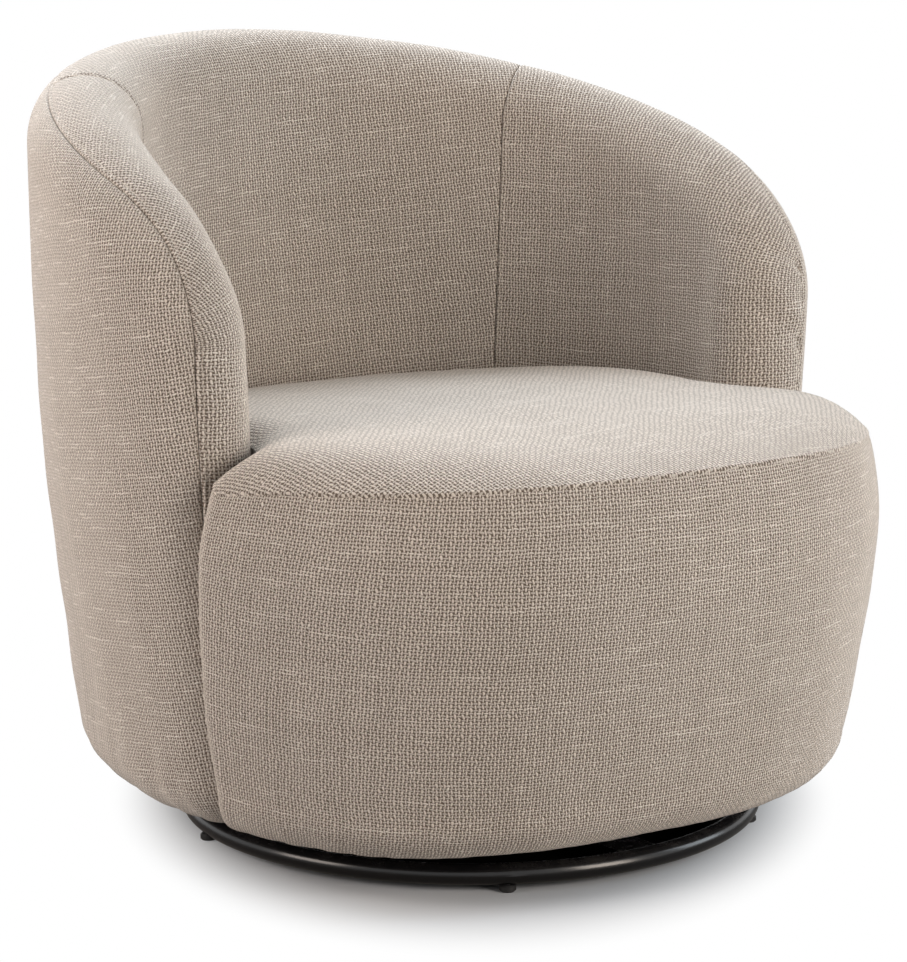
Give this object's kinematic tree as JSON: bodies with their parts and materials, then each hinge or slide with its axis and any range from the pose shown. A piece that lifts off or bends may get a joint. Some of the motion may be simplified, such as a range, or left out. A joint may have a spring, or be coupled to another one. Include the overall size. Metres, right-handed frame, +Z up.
{
  "type": "swivel barrel chair",
  "caption": "Low upholstered barrel chair with a rounded back that slopes down into the arms, a thick tight seat, and a body that turns on a ball race above a round tube base.",
  "frame": {"origin": "on the floor below the middle of the overall outline seen from above", "axes": "+Z up, the sitter faces -Y, +X to the sitter's left; the swivel axis stands at x 0, y -0.057"},
  "size_m": [0.7678, 0.806, 0.7326],
  "materials": {
    "black_steel": "glossy black powder coat",
    "glide_plastic": "matt moulded",
    "plated_steel": "zinc plated",
    "brass_strip": "rolled strip",
    "spring_steel": "oiled drawn wire",
    "black_board": "black painted board",
    "plywood": "sanded, unfinished",
    "timber": "planed, unfinished",
    "hardboard": "smooth one side",
    "dust_cloth": "thin black non-woven",
    "felt": "needled insulator felt",
    "foam": "open-cell upholstery foam",
    "wadding": "bonded fibre wadding",
    "cover_cloth": "basket weave of slub yarn, greige"
  },
  "bodies": {
    "base": {"base_ring": "black_steel", "crossed_bars": "black_steel", "glides": "glide_plastic", "lower_race_plate": "plated_steel", "lower_plate_bolts": "plated_steel", "centre_pin": "plated_steel", "pin_washer": "plated_steel", "pin_nut": "plated_steel"},
    "ball_set": {"ball_cage": "brass_strip", "bearing_balls": "plated_steel"},
    "upholstered_body": {"upper_race_plate": "plated_steel", "upper_plate_bolts": "plated_steel", "swivel_board": "black_board", "dust_cloth": "dust_cloth", "bottom_plate": "plywood", "deck_posts": "timber", "seat_deck": "plywood", "front_panel": "plywood", "wall_ribs": "timber", "arm_posts": "timber", "top_rail": "plywood", "inner_liner": "hardboard", "outer_liner": "hardboard", "zigzag_springs": "spring_steel", "spring_clips": "plated_steel", "spring_felt": "felt", "seat_foam": "foam", "front_foam": "foam", "back_foam": "foam", "left_arm_foam": "foam", "right_arm_foam": "foam", "outer_wadding": "wadding", "back_cover": "cover_cloth", "left_arm_cover": "cover_cloth", "right_arm_cover": "cover_cloth", "outer_cover": "cover_cloth", "seat_top_cover": "cover_cloth", "seat_front_cover": "cover_cloth"}
  },
  "joints": [
    {"name": "swivel", "type": "hinge", "parent": "base", "child": "upholstered_body", "pos_m": [0, -0.057, 0.0254], "axis": [0, 0, 1], "continuous": true},
    {"name": "ball_set_turn", "type": "hinge", "parent": "base", "child": "ball_set", "pos_m": [0, -0.057, 0.0254], "axis": [0, 0, 1], "continuous": true}
  ],
  "couplings": [
    {"joint": "ball_set_turn", "follows": "swivel", "ratio": 0.5}
  ]
}
